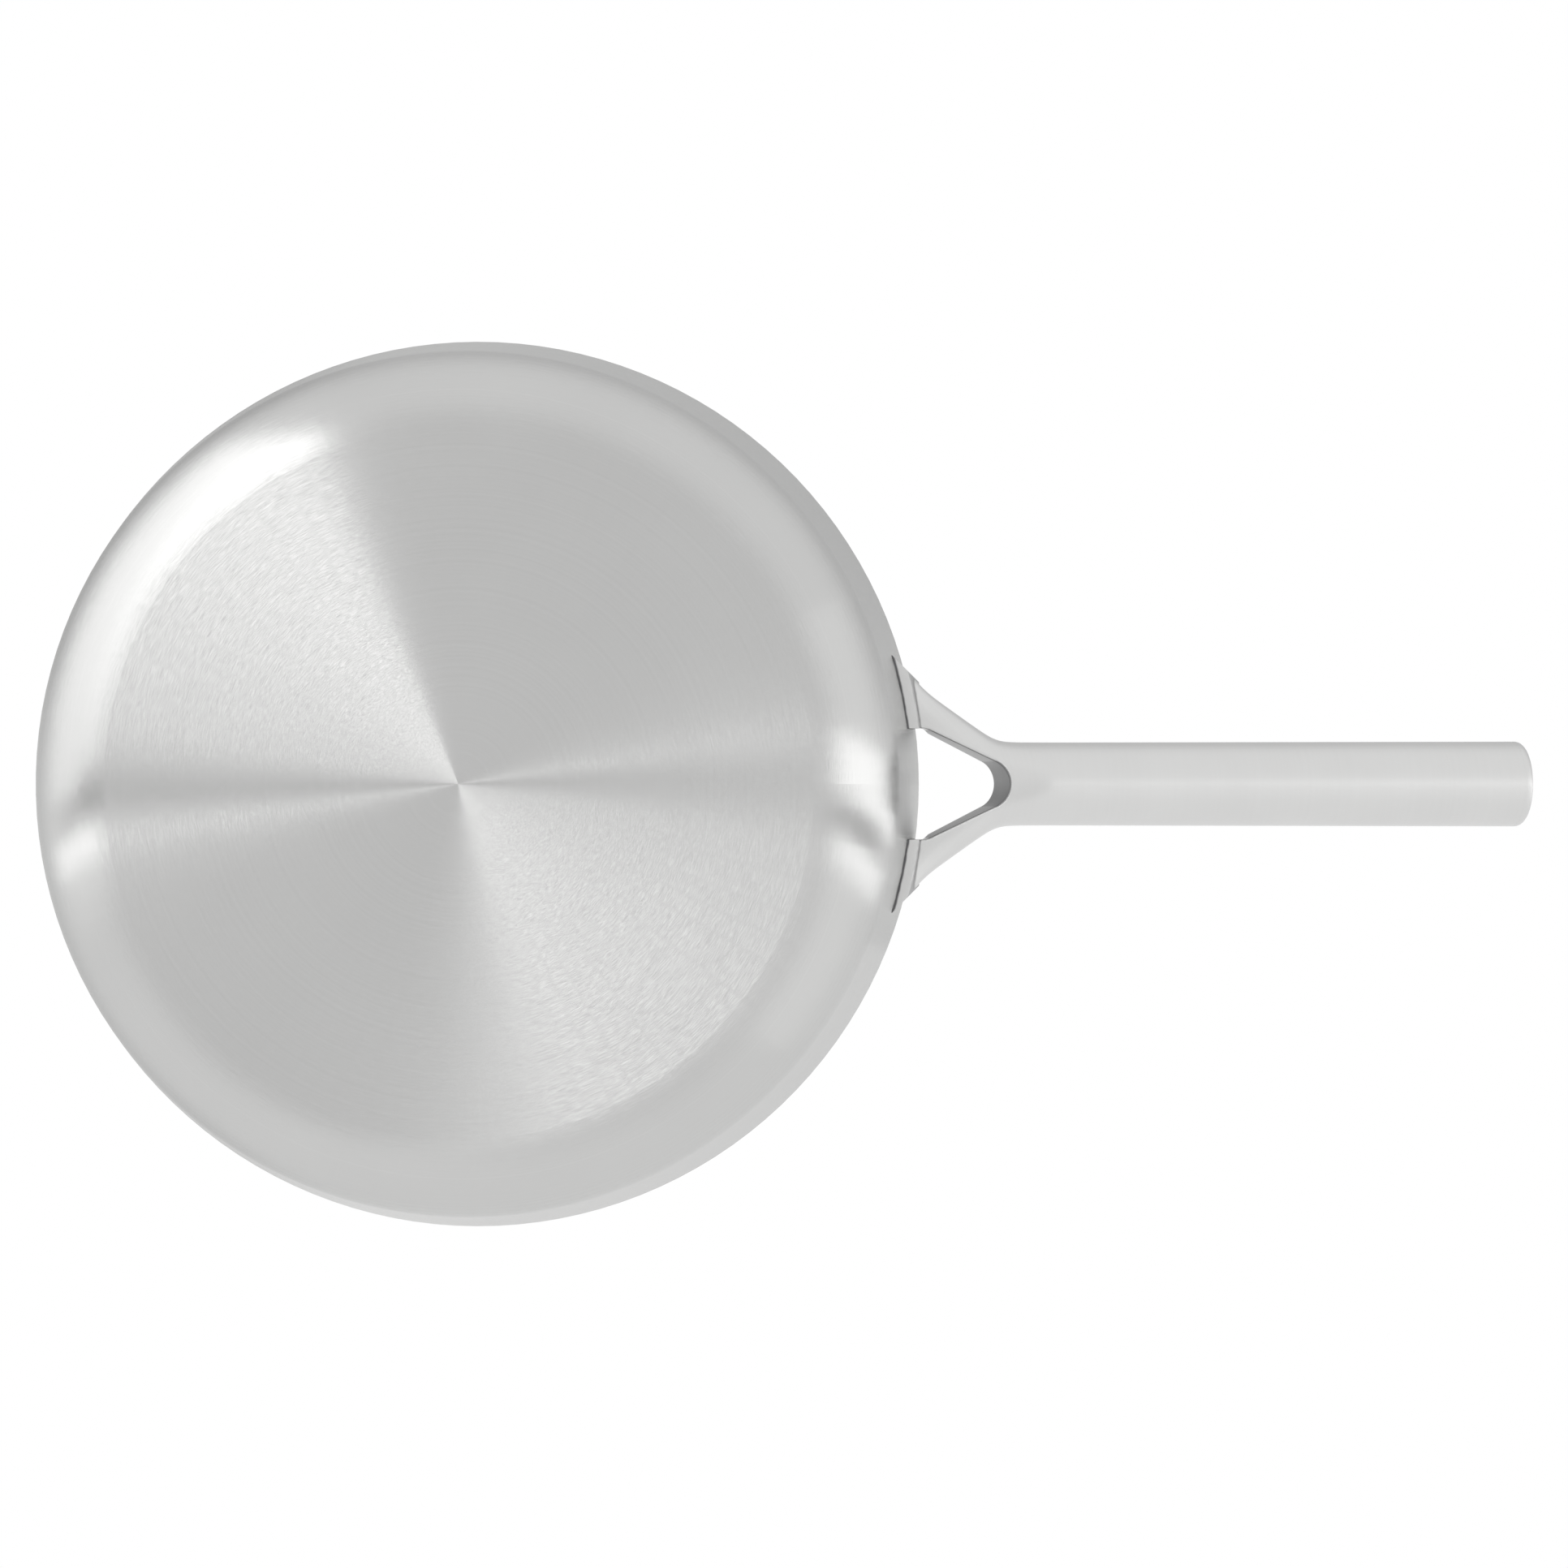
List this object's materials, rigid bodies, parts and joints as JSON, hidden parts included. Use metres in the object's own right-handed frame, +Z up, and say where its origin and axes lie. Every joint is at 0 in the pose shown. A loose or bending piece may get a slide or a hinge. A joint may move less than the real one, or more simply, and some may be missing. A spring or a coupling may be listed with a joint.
{
  "type": "frying pan",
  "caption": "Round clad-steel frying pan with a flat base, low sloped wall and a forked, hollow round handle that rises from the rim; it can hang by the fork's opening.",
  "frame": {"origin": "centre of the flat base, on its underside, which is the plane that the pan stands on", "axes": "+X from the pan's centre out along the handle, +Z up out of the pan, +Y completes a right-handed frame"},
  "size_m": [0.4535, 0.267, 0.1018],
  "materials": {
    "outer_steel": "brushed in circles about the base's centre",
    "aluminium_core": "cut edge, satin",
    "cooking_steel": "brushed in circles, brighter than the outside",
    "handle_steel": "fine satin",
    "inner_steel": "as turned, out of sight"
  },
  "bodies": {
    "root": {"outer_sheet": "outer_steel", "core_sheet": "aluminium_core", "inner_sheet": "cooking_steel", "foot_pad_left": "handle_steel", "foot_pad_right": "handle_steel", "handle_fork": "handle_steel", "joint_sleeve": "inner_steel", "grip_tube": "handle_steel", "end_cap": "handle_steel"}
  },
  "joints": []
}
